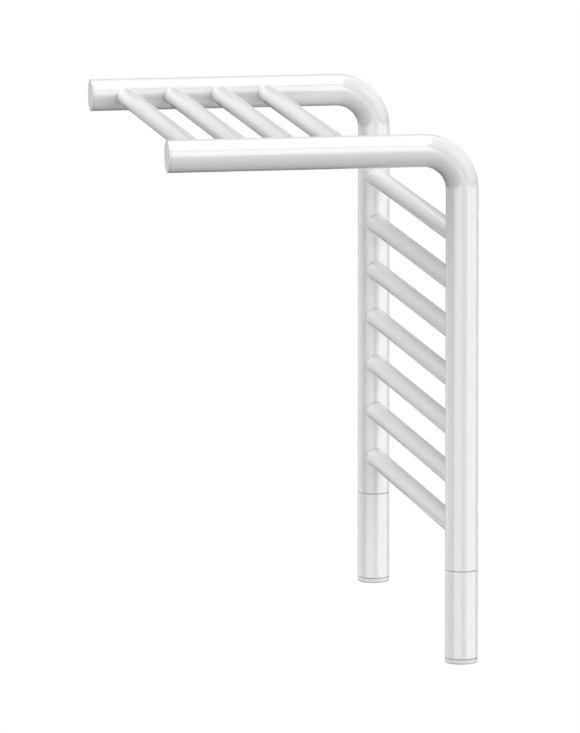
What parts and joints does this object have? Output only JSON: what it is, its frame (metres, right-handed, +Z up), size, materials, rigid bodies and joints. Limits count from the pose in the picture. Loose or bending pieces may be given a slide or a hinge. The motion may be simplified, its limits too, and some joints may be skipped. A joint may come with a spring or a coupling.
{
  "type": "electric towel warmer with a towel shelf",
  "caption": "Wall-hung towel warmer: two bent tube uprights whose arms carry a shelf of bars above a ladder of bars, with a heating element and a control in one leg.",
  "frame": {"origin": "centre of the rectangle of the four wall bosses, on the plane of their rear faces", "axes": "+Z up, +Y towards the wall, +X to the right of a user who faces the product; the shelf reaches out along -Y"},
  "size_m": [0.6, 0.364, 0.619],
  "materials": {
    "white_enamel": "glossy white enamel",
    "white_plastic": "glossy white",
    "steel": "drawn and machined steel",
    "brass": "machined brass",
    "rubber": "matt black rubber",
    "black_plastic": "matt black",
    "green_plastic": "matt green",
    "board": "satin green solder mask"
  },
  "bodies": {
    "frame": {"left_upright": "white_enamel", "right_upright": "white_enamel", "ladder_bar_1": "white_enamel", "ladder_bar_2": "white_enamel", "ladder_bar_3": "white_enamel", "ladder_bar_4": "white_enamel", "ladder_bar_5": "white_enamel", "ladder_bar_6": "white_enamel", "ladder_bar_7": "white_enamel", "shelf_bar_1": "white_enamel", "shelf_bar_2": "white_enamel", "shelf_bar_3": "white_enamel", "shelf_bar_4": "white_enamel", "left_arm_cap": "white_enamel", "right_arm_cap": "white_enamel", "plain_sleeve": "white_enamel", "control_sleeve": "white_enamel", "lower_left_wall_boss": "steel", "lower_right_wall_boss": "steel", "upper_left_wall_boss": "steel", "upper_right_wall_boss": "steel", "left_bush": "steel", "right_bush": "steel", "left_grub_screw": "steel", "right_grub_screw": "steel", "heating_element": "steel", "temperature_probe": "steel", "potentiometer_nut": "steel", "blank_plug": "brass", "heater_head": "brass", "blank_plug_o_ring": "rubber", "heater_o_ring": "rubber", "heater_lead_left": "rubber", "heater_lead_right": "rubber", "cable_grommet": "rubber", "plain_end_cap": "white_plastic", "control_carrier": "black_plastic", "potentiometer": "black_plastic", "power_relay": "black_plastic", "capacitor": "black_plastic", "terminal_block": "green_plastic", "circuit_board": "board"},
    "knob": {"control_knob": "white_plastic", "control_shaft": "steel"}
  },
  "joints": [
    {"name": "control_knob_turn", "type": "hinge", "parent": "frame", "child": "knob", "pos_m": [0.281, -0.0175, -0.353], "axis": [0, 0, 1], "range_deg": [0, 270]}
  ]
}
